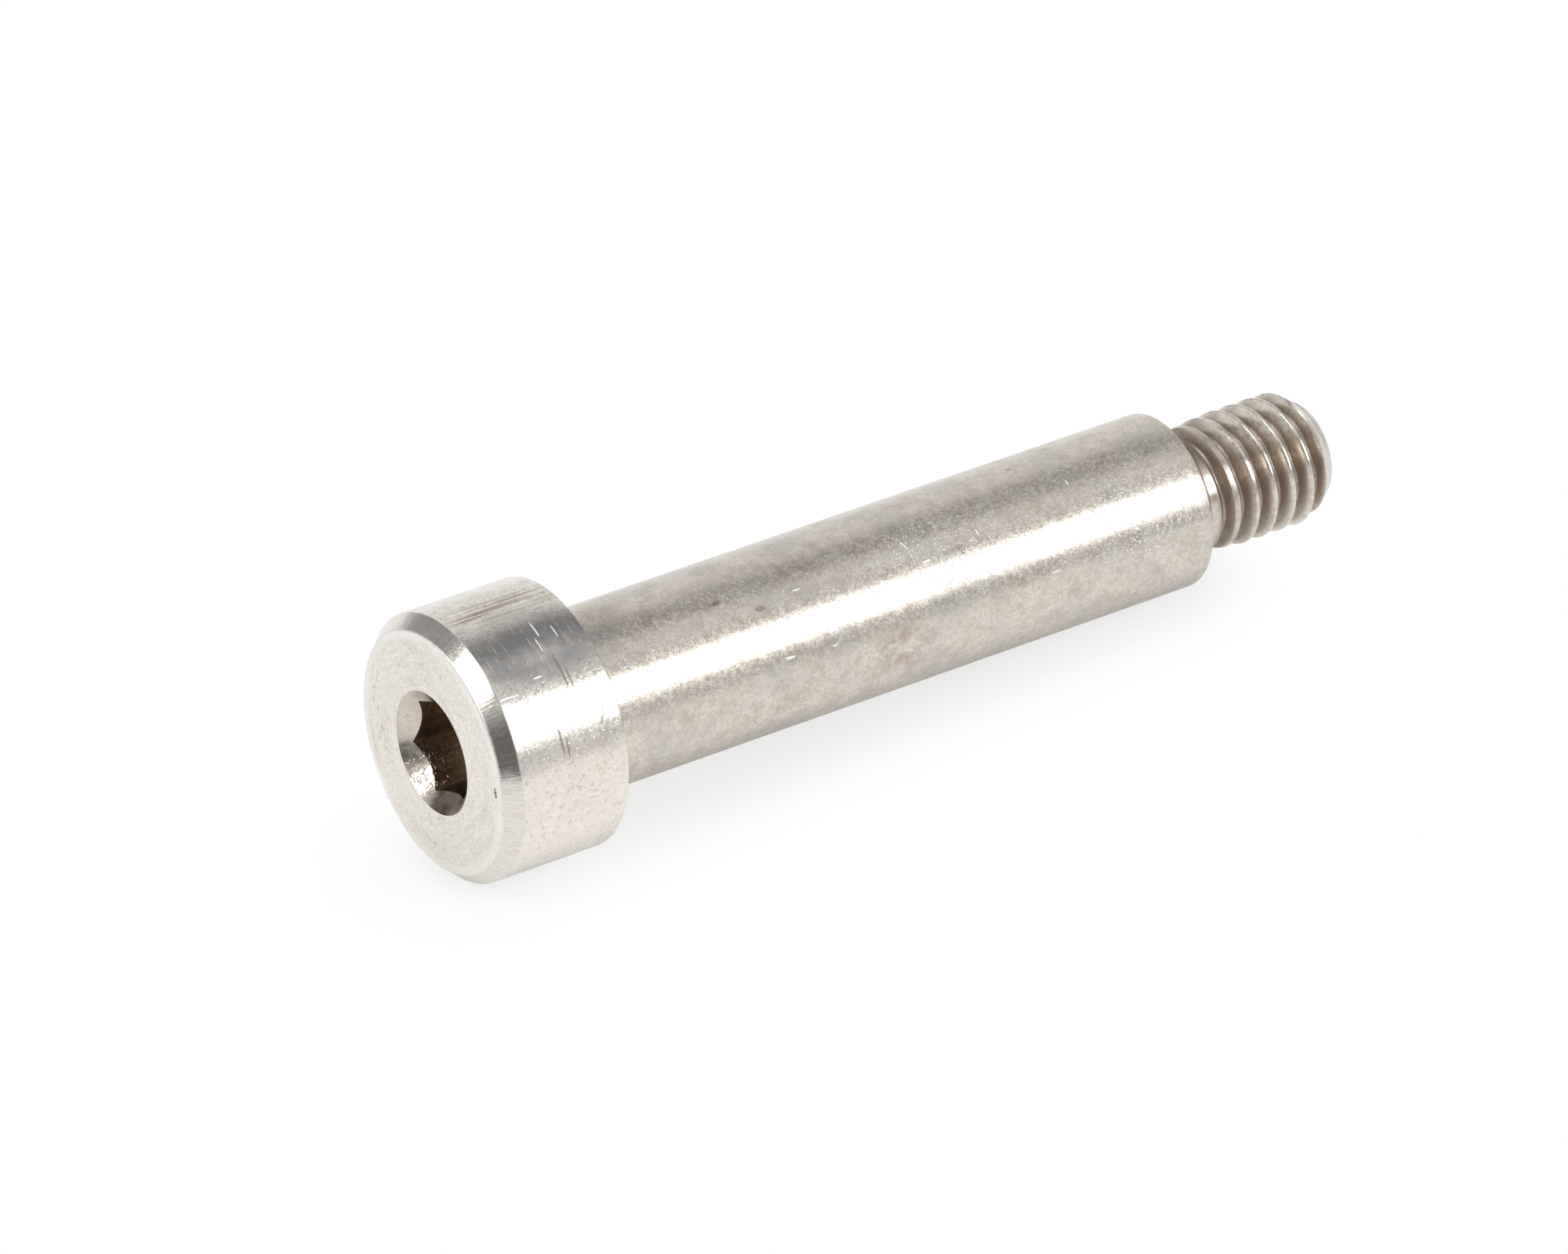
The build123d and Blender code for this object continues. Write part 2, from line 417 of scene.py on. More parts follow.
class Steel(Nodes):
    """A steel finish. Its patterns read the place on the bolt; places and heights are in millimetres."""

    def __init__(self, name, anisotropy=0.0):
        self.material = bpy.data.materials.new(name)
        self.material.use_nodes = True
        super().__init__(self.material.node_tree)
        self.shader = self.tree.nodes["Principled BSDF"]
        self.feed(self.shader, "Metallic", 1.0)
        self.feed(self.shader, "Anisotropic", anisotropy)
        if anisotropy:
            round_the_axis = self.add("ShaderNodeTangent", direction_type="RADIAL", axis="Z")
            self.feed(self.shader, "Tangent", round_the_axis)
        metres = self.add("ShaderNodeTexCoord", out="Object")
        self.place = self.add("ShaderNodeMapping", metres, None, None, (1 / MM, 1 / MM, 1 / MM))
        x, y, self.z = self.split(self.place)
        self.flat = self.add("ShaderNodeCombineXYZ", x, y, 0.0)
        self.radius = self.vector("LENGTH", self.flat)
        self.around = self.vector("NORMALIZE", self.flat)
        self.cosine, self.sine, _ = self.split(self.around)

    def stretched(self, across, along, through=0.0):
        """Coordinates for a pattern with its own density round the axis, along it and in radius."""
        lengthwise = self.z * along + self.radius * through
        return self.add("ShaderNodeCombineXYZ", self.cosine * across, self.sine * across, lengthwise)

    def noise(self, place, density, detail=2.0, roughness=0.5, shift=0.0):
        """A cloudy pattern. Another shift gives another pattern of the same kind."""
        if shift:
            place = self.vector("ADD", place, (shift, shift * 0.7, shift * 1.3))
        return self.add("ShaderNodeTexNoise", place, named={
            "Scale": density, "Detail": detail, "Roughness": roughness})

    def scratches(self, place, density, rarity, shift):
        """Long thin flecks: one where they are, nought elsewhere."""
        return self.noise(place, density, 0.0, 0.5, shift).ramp(rarity, rarity + 0.05)

    def blend(self, share, first, second):
        """Mixes two colours."""
        first, second = ((*colour, 1) if isinstance(colour, tuple) else colour for colour in (first, second))
        return self.add("ShaderNodeMix", share, named={6: first, 7: second}, out=2, data_type="RGBA")

    def mark(self, angle_deg, height, around, along, soft=0.75, lean=0.0):
        """One at a place on the bolt's side, nought past its reach around and along."""
        angle = radians(angle_deg)
        sideways = self.vector("DOT_PRODUCT", self.around, (-sin(angle), cos(angle), 0.0)) * self.radius
        facing = self.vector("DOT_PRODUCT", self.around, (cos(angle), sin(angle), 0.0))
        lengthwise = self.z - height
        if lean:
            lengthwise = sideways * lean + lengthwise
        offset = self.add("ShaderNodeCombineXYZ", sideways / around, lengthwise / along, 0.0)
        return self.vector("LENGTH", offset).ramp(1.0, 1 - soft) * facing.ramp(0.1, 0.3)

    def marks(self, places):
        """Several marks as one pattern."""
        return self.brightest(*(self.mark(*place) for place in places))

    def dot(self, x, y, reach):
        """One at a place on the head's face, falling to nought at the reach."""
        return self.vector("DISTANCE", self.flat, (x, y, 0.0)).ramp(reach, reach * 0.3)

    def brightest(self, first, *others):
        for other in others:
            first = first.at_least(other)
        return first

    def done(self, colour, roughness, height):
        """Gives the shader its patterns and hands over the material."""
        self.feed(self.shader, "Base Color", colour)
        self.feed(self.shader, "Roughness", roughness)
        self.feed(self.shader, "Normal", self.add("ShaderNodeBump", 1.0, MM, named={"Height": height}))
        return self.material


def turned_face_finish():
    steel = Steel("turned face", anisotropy=0.35)
    rings = steel.noise(steel.stretched(0.5, 0.0, 1.0), 9.0, 3.0, 0.7)
    coarse_rings = steel.noise(steel.stretched(0.8, 0.0, 1.0), 2.2, 1.0, 0.5, 4.0)
    grain = steel.noise(steel.place, 9.0, 3.0, 0.65)
    mottle = steel.noise(steel.place, 6.5, 3.0, 0.7, 33.0)
    cloud = steel.noise(steel.place, 0.7, 2.0, 0.6, 9.0)
    freckles = steel.noise(steel.place, 4.2, 2.0, 0.6, 21.0).ramp(0.58, 0.72) * cloud.ramp(0.46, 0.64)
    nick = steel.brightest(
        steel.dot(2.95, 2.60, 0.10), steel.dot(2.88, 2.70, 0.09), steel.dot(3.00, 2.50, 0.07))
    worn = grain * 0.35 + rings * 0.30 + mottle * 0.35
    colour = steel.blend(worn.ramp(0.40, 0.60), CREAM_STEEL, PALE_STEEL)
    colour = steel.blend(freckles * 0.45 + coarse_rings.ramp(0.52, 0.70, 0.0, 0.14), colour, BROWN_STAIN_AND_SHADE)
    colour = steel.blend(steel.radius.ramp(3.85, 4.15, 0.0, 0.5), colour, RIM_STEEL)
    colour = steel.blend(nick, colour, DARK_OIL_AND_REFLECTION)
    height = rings * 0.0014 + coarse_rings * 0.003 + grain * 0.0013 - nick * 0.03
    return steel.done(colour, grain.ramp(0.3, 0.7, 0.28, 0.42), height)


def chamfer_finish():
    steel = Steel("cut chamfer")
    chatter = steel.noise(steel.stretched(26.0, 0.7), 2.2, 2.0, 0.6)
    wide_chatter = steel.noise(steel.stretched(5.0, 0.4), 1.6, 1.0, 0.5, 5.0)
    grooves = steel.noise(steel.stretched(0.6, 4.5), 2.5, 2.0, 0.6)
    grain = steel.noise(steel.place, 10.0, 2.0, 0.6)
    colour = steel.blend(chatter.ramp(0.35, 0.62), CREAM_STEEL, BRIGHT_STEEL)
    colour = steel.blend(chatter.ramp(0.56, 0.70) * 0.42, colour, BROWN_STAIN_AND_SHADE)
    height = chatter * 0.0040 + grooves * 0.0016 + wide_chatter * 0.006 + grain * 0.0004
    return steel.done(colour, grain.ramp(0.3, 0.7, 0.13, 0.22), height)


def head_side_finish():
    steel = Steel("head side", anisotropy=0.2)
    grain = steel.noise(steel.place, 9.0, 3.0, 0.6)
    speckle = steel.noise(steel.place, 15.0, 2.0, 0.7, 27.0)
    mottle = steel.noise(steel.place, 3.4, 3.0, 0.7, 51.0)
    cloud = steel.noise(steel.place, 0.8, 2.0, 0.6, 3.0)
    lathe_lines = steel.noise(steel.stretched(1.2, 1.0), 9.0, 2.0, 0.6)
    across = steel.scratches(steel.stretched(4.2, 1.0), 6.0, 0.70, 7.0)
    scratches = steel.marks(HEAD_SCRATCHES)
    bright_nicks = steel.marks(HEAD_NICKS)
    # Rubbed grey on one side, with fine scratches round it
    rubbed = steel.mark(-15.0, 2.9, 1.5, 5.0, 0.6) * cloud.ramp(0.30, 0.55, 0.6, 1.0)
    round_lines = steel.noise(steel.stretched(1.6, 4.2), 2.2, 2.0, 0.7, 11.0).ramp(0.56, 0.70)
    # Dark marks left along the bar, and shallow pits on the other side
    streaks = steel.noise(steel.stretched(30.0, 0.30), 1.0, 2.0, 0.6, 2.0).ramp(0.47, 0.62)
    streaks = streaks * steel.mark(-43.0, 2.7, 1.0, 3.2, 0.6)
    pits = steel.noise(steel.stretched(30.0, 3.4), 2.3, 1.0, 0.5, 31.0).ramp(0.62, 0.74)
    pits = pits * steel.mark(46.0, 2.6, 2.2, 2.6, 0.6)
    dark = streaks * 0.50 + steel.marks(BAR_MARKS) * 0.7 + pits * 0.45 + across * 0.25 + scratches * 0.65
    colour = steel.blend((grain * 0.5 + mottle * 0.5).ramp(0.40, 0.60), CREAM_STEEL, PALE_STEEL)
    colour = steel.blend(cloud.ramp(0.5, 0.75, 0.0, 0.25), colour, GREY_STEEL)
    colour = steel.blend(speckle.ramp(0.52, 0.66, 0.0, 0.30), colour, BROWN_STAIN_AND_SHADE)
    # Painted light: the lower side, as the bolt lies, is made brighter and warmer
    colour = steel.blend(steel.mark(58.0, 2.4, 3.6, 5.0, 0.6) * 0.55, colour, ROSE_PAINTED_LIGHT)
    colour = steel.blend(rubbed * mottle.ramp(0.35, 0.60, 1.0, 0.7), colour, RUBBED_BROWN)
    colour = steel.blend(rubbed * round_lines.ramp(0.0, 1.0, 0.62, 0.15), colour, RUBBED_STEEL)
    colour = steel.blend(dark.at_most(1.0), colour, BROWN_STAIN_AND_SHADE)
    colour = steel.blend(bright_nicks, colour, FRESH_STEEL)
    shine = (grain * 0.7 + cloud * 0.3).ramp(0.3, 0.7, 0.15, 0.26)
    height = (
        grain * 0.0010 + speckle * 0.0010 + lathe_lines * 0.0007 + cloud * 0.006 - across * 0.003
        + round_lines * rubbed * 0.004 - pits * 0.004 - scratches * 0.008 + bright_nicks * 0.02)
    return steel.done(colour, bright_nicks * 0.3 + shine, height)


def ground_shoulder_finish():
    steel = Steel("ground shoulder")
    speckle = steel.noise(steel.place, 15.0, 2.0, 0.6)
    mottle = steel.noise(steel.place, 5.5, 3.0, 0.65, 3.0)
    patches = steel.noise(steel.place, 1.5, 2.0, 0.6, 25.0)
    cloud = steel.noise(steel.place, 0.45, 2.0, 0.5, 9.0)
    smudge = steel.noise(steel.place, 1.0, 3.0, 0.6, 44.0).ramp(0.54, 0.72)
    flecks = steel.scratches(steel.stretched(9.0, 3.6), 2.4, 0.715, 12.0)
    nicks = steel.scratches(steel.stretched(4.0, 2.8), 3.2, 0.75, 18.0)
    bruises = steel.scratches(steel.stretched(9.0, 3.0), 4.5, 0.66, 5.0)
    ticks = steel.brightest(
        steel.marks(SHOULDER_TICKS), bruises * steel.mark(16.0, 27.2, 2.4, 3.4, 0.6),
        bruises * steel.mark(-4.0, 19.5, 1.6, 5.0, 0.8))
    dark_spots = steel.marks(SHOULDER_SPOTS).at_least(steel.mark(-38.0, 6.4, 1.3, 1.9, 0.9) * 0.6)
    stain = steel.mark(50.0, 17.0, 1.3, 1.9, 0.8)
    stain = stain * steel.noise(steel.place, 1.8, 3.0, 0.6, 5.0).ramp(0.42, 0.60)
    # Painted light: a reddish patch at one place, blended in with the real smudges and stain
    red_light = steel.mark(15.0, 19.4, 0.7, 1.3, 0.8) * speckle.ramp(0.48, 0.62)
    # Painted shade: darker in the corner between the shoulder's end and the neck
    corner = steel.z.ramp(SHOULDER_END / MM - 0.01, SHOULDER_END / MM + 0.08)
    corner = corner * steel.radius.ramp(NECK_R / MM + 0.55, NECK_R / MM + 0.25)
    colour = steel.blend((speckle * 0.5 + mottle * 0.5).ramp(0.40, 0.60), WARM_STEEL, CLEAN_STEEL)
    colour = steel.blend(patches.ramp(0.42, 0.66, 0.0, 0.17), colour, BROWN_STAIN_AND_SHADE)
    colour = steel.blend(smudge * 0.24 + stain * 0.5 + red_light * 0.35, colour, RED_STAIN_AND_LIGHT)
    colour = steel.blend(dark_spots * mottle.ramp(0.3, 0.6, 0.2, 0.75), colour, DARK_OIL_AND_REFLECTION)
    colour = steel.blend(cloud.ramp(0.45, 0.7, 0.0, 0.3), colour, GREY_STEEL)
    colour = steel.blend(ticks, colour, FRESH_STEEL)
    colour = steel.blend(corner * 0.7, colour, BROWN_STAIN_AND_SHADE)
    grain = (speckle * 0.4 + mottle * 0.6).ramp(0.34, 0.66, 0.205, 0.34)
    height = (
        speckle * 0.0010 + mottle * 0.0020 + patches * 0.0032 + cloud * 0.006 + flecks * 0.006
        + nicks * 0.004 + ticks * 0.016)
    return steel.done(colour, ticks * 0.28 + grain, height)


def thread_finish():
    steel = Steel("rolled thread")
    speckle = steel.noise(steel.place, 12.0, 2.0, 0.6)
    mottle = steel.noise(steel.place, 4.5, 3.0, 0.65, 3.0)
    # Painted shade and dirt: the grooves are darker the deeper they go
    depth = steel.radius.ramp(CREST_R / MM - 0.02, ROOT_R / MM + 0.22)
    # Painted reflection: the tip's chamfer is made paler
    tip = steel.z.ramp(BOLT_END / MM - 0.62, BOLT_END / MM - 0.45)
    # Painted light: the side that is on top as the bolt lies is left lighter, darkened only down in the
    # roots
    lit_top_side = steel.mark(-34.0, 34.2, 1.7, 3.4, 0.7).ramp(0.0, 1.0, 0.0, 0.8)
    roots = steel.radius.ramp(ROOT_R / MM + 0.26, ROOT_R / MM + 0.08)
    depth = depth + lit_top_side * (roots - depth)
    dirt_and_shade = depth * mottle.ramp(0.25, 0.75, 0.70, 1.0)
    # The neck is bar with fine turning lines, dirty but for the other side, away from its corner
    neck = steel.z.ramp(NECK_END / MM + 0.15, NECK_END / MM - 0.05)
    neck_lines = steel.noise(steel.stretched(0.3, 9.0), 1.6, 2.0, 0.7, 6.0)
    clean = steel.mark(58.0, 30.8, 2.3, 2.5, 0.3)
    clean = clean * steel.z.ramp(SHOULDER_END / MM + 0.62, SHOULDER_END / MM + 0.70)
    soil_and_dark_reflection = clean.ramp(0.0, 1.0, 1.0, 0.2) * neck_lines.ramp(0.4, 0.6, 0.8, 1.0)
    # Painted dark reflection: a dark spot under the neck's highlight, laid in with the neck's dirt
    soil_and_dark_reflection = soil_and_dark_reflection.at_least(steel.mark(26.0, 31.0, 0.32, 0.35, 0.8) * 0.55)
    dirt_and_shade = dirt_and_shade + neck * (soil_and_dark_reflection - dirt_and_shade)
    colour = steel.blend(mottle.ramp(0.38, 0.62), WARM_STEEL, CLEAN_STEEL)
    colour = steel.blend(dirt_and_shade, colour, TAN_STAIN_AND_SHADE)
    colour = steel.blend(neck * soil_and_dark_reflection.ramp(0.25, 0.9, 0.0, 0.5), colour, DARK_OIL_AND_REFLECTION)
    colour = steel.blend(tip * 0.65, colour, PALE_STEEL)
    shine = (speckle * 0.4 + mottle * 0.6).ramp(0.32, 0.68, 0.15, 0.27)
    height = speckle * 0.0012 + mottle * 0.0026 + neck_lines * neck * 0.012
    return steel.done(colour, dirt_and_shade * 0.20 + shine, height)


def socket_finish():
    steel = Steel("broached socket")
    drag = steel.noise(steel.stretched(16.0, 0.35), 1.8, 2.0, 0.6)
    mottle = steel.noise(steel.place, 2.6, 3.0, 0.65, 3.0)
    crinkle = steel.noise(steel.place, 5.0, 2.0, 0.5, 8.0)
    depth = steel.z.ramp(0.35, 1.2)
    # Wrinkles on one side of the countersink: the borders of a pattern of folds
    folds = steel.noise(steel.place, 3.4, 1.0, 0.5, 40.0).ramp(0.50, 0.56)
    wrinkles = folds * (1.0 - folds) * 4.0 * steel.mark(168.0, 0.3, 1.0, 1.2, 0.4)
    # Darker on one side of the countersink
    dark_side = steel.mark(118.0, 0.3, 1.3, 1.8, 0.5) * mottle.ramp(0.3, 0.7, 0.95, 0.7)
    colour = steel.blend(mottle.ramp(0.38, 0.66), WARM_STEEL, CLEAN_STEEL)
    colour = steel.blend(mottle.ramp(0.52, 0.70, 0.10, 0.50), colour, BROWN_STAIN_AND_SHADE)
    colour = steel.blend(wrinkles * 0.8, colour, RED_STAIN_AND_LIGHT)
    colour = steel.blend(dark_side, colour, DARK_OIL_AND_REFLECTION)
    drag_marks = steel.blend(drag.ramp(0.54, 0.68), WET_OIL, GOLD_STAIN)
    hexagon = steel.blend(drag.ramp(0.30, 0.56), BROWN_STAIN_AND_SHADE, drag_marks)
    colour = steel.blend(depth * 0.78, colour, hexagon)
    height = drag * depth * 0.012 + crinkle * 0.004 + mottle * 0.004 + wrinkles * 0.012
    return steel.done(colour, mottle.ramp(0.3, 0.7, 0.19, 0.34), height)


# ---------------------------------------------------------------- the bolt

def turned_strip(turning, name, finish, corners, roundings, row_gap=ROW_GAP):
    """One stretch of the turned outline, spun about the axis, with its finish."""
    points = rounded(corners, roundings, row_gap)
    values = {"Rows": len(points), "Finish": finish}
    return evaluated(turning, section_mesh(points, name), values, name), finish


def head_strips(turning, face, chamfer, side):
    """The head from the socket's mouth over its face, chamfer and side to the relief under it."""
    rim = HEAD_R - FACE_CHAMFER_WIDTH
    down_chamfer = Vector((FACE_CHAMFER_WIDTH, FACE_CHAMFER_HEIGHT)).normalized() * FACE_RIM_WIDTH
    under_rim = (rim + down_chamfer.x, down_chamfer.y)
    side_start = (HEAD_R, FACE_CHAMFER_HEIGHT + CHAMFER_FINISH_HEIGHT)
    back_start = (HEAD_R - HEAD_EDGE_BREAK - SIDE_FINISH_WIDTH, HEAD_HEIGHT)
    return [
        turned_strip(
            turning, "face", face,
            [(MOUTH_R, 0), (rim, 0), under_rim],
            [0, FACE_RIM_ROUNDING, 0]),
        turned_strip(
            turning, "chamfer", chamfer,
            [under_rim, (HEAD_R, FACE_CHAMFER_HEIGHT), side_start],
            [0, CHAMFER_ROUNDING, 0]),
        turned_strip(
            turning, "side", side,
            [side_start, (HEAD_R, HEAD_HEIGHT), back_start],
            [0, HEAD_EDGE_BREAK, 0]),
        turned_strip(
            turning, "back", face,
            [back_start,
             (SHOULDER_R + RELIEF_FACE_WIDTH, HEAD_HEIGHT),
             (RELIEF_R, HEAD_HEIGHT - RELIEF_FACE_DEPTH),
             (RELIEF_R, HEAD_HEIGHT + RELIEF_WIDTH - SHOULDER_R + RELIEF_R),
             (SHOULDER_R, HEAD_HEIGHT + RELIEF_WIDTH)],
            [0, RELIEF_ROUNDING, RELIEF_ROUNDING, RELIEF_ROUNDING, 0]),
    ]


def shoulder_strip(turning, finish):
    """The ground shoulder, its end and the fillet up to the neck."""
    fillet = arc((NECK_R + NECK_FILLET, SHOULDER_END + NECK_FILLET), NECK_FILLET, 270, 180, FILLET_STEPS)
    corners = [
        (SHOULDER_R, HEAD_HEIGHT + RELIEF_WIDTH), (SHOULDER_R, SHOULDER_END),
        (NECK_R + NECK_FILLET, SHOULDER_END), *fillet]
    roundings = [0] * len(corners)
    roundings[1] = SHOULDER_EDGE_BREAK
    return turned_strip(turning, "shoulder", finish, corners, roundings, SHOULDER_ROW_GAP)


def thread_strip(finish):
    """The neck, the thread with its run-out and low first crests, and the tip's chamfer."""
    tooth = tooth_outline()
    rows_in_a_tooth = len(tooth) - 1
    first_root = SHOULDER_END + FIRST_CREST - PITCH / 2 - TURNS_BEFORE * PITCH
    mesh = evaluated(threading_tree(), section_mesh(tooth, "tooth"), {
        "Rows": rows_in_a_tooth * ceil((BOLT_END - first_root) / PITCH) + 1,
        "Rows in a tooth": rows_in_a_tooth,
        "Pitch": PITCH,
        "First root": first_root,
        "Full depth turn": TURNS_BEFORE + FULL_DEPTH_DEG / 360,
        "Run-out turns": RUN_OUT_TURNS,
        "Run-out depth": NECK_R - ROOT_R + RUN_OUT_RISE,
        "Crest radius": CREST_R,
        "Neck radius": NECK_R,
        "Neck start": SHOULDER_END + NECK_FILLET,
        "Neck end": NECK_END,
        "Neck slope": (CREST_R - NECK_R) / FIRST_CRESTS_LENGTH,
        "Tip radius": TIP_R,
        "Tip": BOLT_END,
        "Tip slope": (CREST_R - TIP_R) / TIP_CHAMFER_HEIGHT,
        "Edge rounding": THREAD_EDGE_ROUNDING,
        "Finish": finish,
    }, "threaded end")
    return mesh, finish


def add_strips(whole, strips, finishes):
    """Joins the strips to the whole, each with its own finish."""
    for mesh, finish in strips:
        start = len(whole.faces)
        whole.from_mesh(mesh)
        whole.faces.ensure_lookup_table()
        for panel in whole.faces[start:]:
            panel.material_index = finishes.index(finish)


def add_socket(whole, finish_slot):
    """The countersink, the hexagon and the drilled hole behind it, ring by ring down to its point."""
    above = None
    for ring in socket_rings():
        below = []
        for k, (radius, height) in enumerate(ring):
            angle = 2 * pi * k / AROUND
            below.append(whole.verts.new((radius * cos(angle), radius * sin(angle), height)))
        if above:
            for k in range(AROUND):
                after = (k + 1) % AROUND
                panel = whole.faces.new((above[k], above[after], below[after], below[k]))
                panel.material_index = finish_slot
        above = below


def shade(whole):
    """Smooth shading, but for edges where two faces meet at more than the sharp angle."""
    for panel in whole.faces:
        panel.smooth = True
    for edge in whole.edges:
        if edge.is_manifold and edge.calc_face_angle(0) > SHARP_ANGLE:
            edge.smooth = False


def make_bolt():
    face = turned_face_finish()
    chamfer = chamfer_finish()
    side = head_side_finish()
    shoulder = ground_shoulder_finish()
    thread = thread_finish()
    socket = socket_finish()
    finishes = [face, chamfer, side, shoulder, thread, socket]
    turning = turning_tree()
    strips = [
        *head_strips(turning, face, chamfer, side),
        shoulder_strip(turning, shoulder),
        thread_strip(thread),
        turned_strip(turning, "tip", face, [(TIP_R, BOLT_END), (0.0, BOLT_END)], [0, 0]),
    ]
    whole = bmesh.new()
    add_strips(whole, strips, finishes)
    add_socket(whole, finishes.index(socket))
    bmesh.ops.remove_doubles(whole, verts=whole.verts, dist=WELD)
    bmesh.ops.recalc_face_normals(whole, faces=whole.faces)
    shade(whole)
    mesh = bpy.data.meshes.new("shoulder_bolt_finished")
    whole.to_mesh(mesh)
    whole.free()
    for finish in finishes:
        mesh.materials.append(finish)
    bolt = placed("shoulder_bolt_finished", mesh)
    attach(bolt, "root")
    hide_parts("shoulder_bolt")


# ---------------------------------------------------------------- table, camera and light

# The camera sees the bolt lying on a table, on the rim of its head and the end of its shoulder.
UP_SIDE = radians(-37.44)              # side of the bolt that is then on top, from +X towards +Y
DIP = atan((HEAD_R - SHOULDER_R) / (SHOULDER_END - HEAD_HEIGHT))
HEADING = radians(34.31)               # the way the thread points on the table, from right towards away
CAMERA_HEIGHT_ANGLE = radians(36.75)
CAMERA_DISTANCE = 336.2 * MM
AIM_HEIGHT = 14.27 * MM
AIM_RISE = 0.13 * MM
LENS = 226.4                           # millimetres, on a sensor 36 wide

TABLE_UP = Vector((cos(DIP) * cos(UP_SIDE), cos(DIP) * sin(UP_SIDE), -sin(DIP)))
AXIS = Vector((0, 0, 1))
ALONG = (AXIS - TABLE_UP * AXIS.dot(TABLE_UP)).normalized()
TABLE_RIGHT = ALONG * cos(HEADING) - TABLE_UP.cross(ALONG) * sin(HEADING)
TABLE_AWAY = TABLE_UP.cross(TABLE_RIGHT)


def on_table(right, away, up):
    """A direction given on the table, in the bolt's own frame."""
    return TABLE_RIGHT * right + TABLE_AWAY * away + TABLE_UP * up


def make_camera():
    camera = placed("camera", bpy.data.cameras.new("camera"))
    camera.data.sensor_width = 36
    camera.data.lens = LENS
    camera.data.clip_start = 0.01
    camera.data.clip_end = 10
    back = on_table(0, -cos(CAMERA_HEIGHT_ANGLE), sin(CAMERA_HEIGHT_ANGLE))
    camera_up = on_table(0, sin(CAMERA_HEIGHT_ANGLE), cos(CAMERA_HEIGHT_ANGLE))
    camera.location = AXIS * AIM_HEIGHT + camera_up * AIM_RISE + back * CAMERA_DISTANCE
    camera.rotation_mode = "QUATERNION"
    camera.rotation_quaternion = Matrix((TABLE_RIGHT, camera_up, back)).transposed().to_quaternion()
    bpy.context.scene.camera = camera


class Room(Nodes):
    """The studio's light by direction, given on the table."""

    def __init__(self, world):
        super().__init__(world.node_tree)
        self.direction = self.add("ShaderNodeTexCoord", out="Generated")

    def patch(self, toward, inner_deg, outer_deg):
        """One towards a direction, falling softly to nought."""
        cosine = self.vector("DOT_PRODUCT", self.direction, tuple(on_table(*toward).normalized()))
        return cosine.ramp(cos(radians(outer_deg)), cos(radians(inner_deg)))

    def lay(self, under, level, share):
        """Lays a level over what is under it, as far as the share says."""
        return self.add("ShaderNodeMix", share, None, under, level)


# Levels of the room. White paper is one.
PAPER = 1.0
CEILING = 0.55

# What is laid over the ceiling, in this order: level, direction on the table, and how many degrees from it
# the patch starts to fade and is gone
PATCHES = {
    "pale sweep behind": (0.86, (0.0, 1.0, 0.10), 20, 44),
    "side wall": (0.62, (0.9, -0.43, 0.03), 12, 30),
    "bright ceiling": (0.84, (0.49, 0.23, 0.84), 5, 22),
    "dark ceiling": (0.42, (0.27, 0.58, 0.78), 2, 19),
    "light overhead": (2.0, (-0.12, 0.06, 0.98), 6, 24),
    "dark front": (0.16, (-0.25, -0.95, 0.22), 12, 32),
    "dark left": (0.34, (-0.76, 0.42, 0.40), 16, 34),
    "left wall": (0.95, (-0.96, 0.20, 0.12), 8, 26),
}


def make_room():
    """White paper below, a pale sweep behind, a dimmer ceiling and a dark place behind the camera."""
    world = bpy.data.worlds.new("studio")
    bpy.context.scene.world = world
    world.use_nodes = True
    room = Room(world)
    level = CEILING
    for patch_level, toward, inner_deg, outer_deg in PATCHES.values():
        level = room.lay(level, patch_level, room.patch(toward, inner_deg, outer_deg))
    height = room.vector("DOT_PRODUCT", room.direction, tuple(TABLE_UP))
    level = room.lay(PAPER, level, height.ramp(-0.12, -0.01))
    # Seen directly, the background is plain white.
    level = room.lay(level, PAPER, room.add("ShaderNodeLightPath", out="Is Camera Ray"))
    background = world.node_tree.nodes["Background"]
    room.feed(background, "Color", (1, 1, 1, 1))
    room.feed(background, "Strength", level)


SOFTBOX_DISTANCE = 0.5


def make_softbox(name, toward, half_angle_deg, level):
    """A square lamp that fills an angle as the bolt sees it and shines at a level."""
    direction = on_table(*toward).normalized()
    size = 2 * SOFTBOX_DISTANCE * tan(radians(half_angle_deg))
    lamp = placed(name, bpy.data.lights.new(name, "AREA"))
    lamp.data.shape = "SQUARE"
    lamp.data.size = size
    lamp.data.energy = level * pi * size * size
    lamp.location = AXIS * AIM_HEIGHT + direction * SOFTBOX_DISTANCE
    lamp.rotation_mode = "QUATERNION"
    lamp.rotation_quaternion = direction.to_track_quat("Z", "Y")
    lamp.visible_camera = False


PAPER_COLOUR = (0.93, 0.93, 0.93, 1)
CONTACT_GAP = 0.5 * MM
SHADE_REACH = 5.5 * MM                 # of the dim place close under the bolt, as it is seen
SHADE_WHITE = 0.72                     # share of plain white that it keeps at the contact
MIRRORED_REACH = 6.5 * MM              # the same, as the bolt mirrors it
MIRRORED_WHITE = 0.14


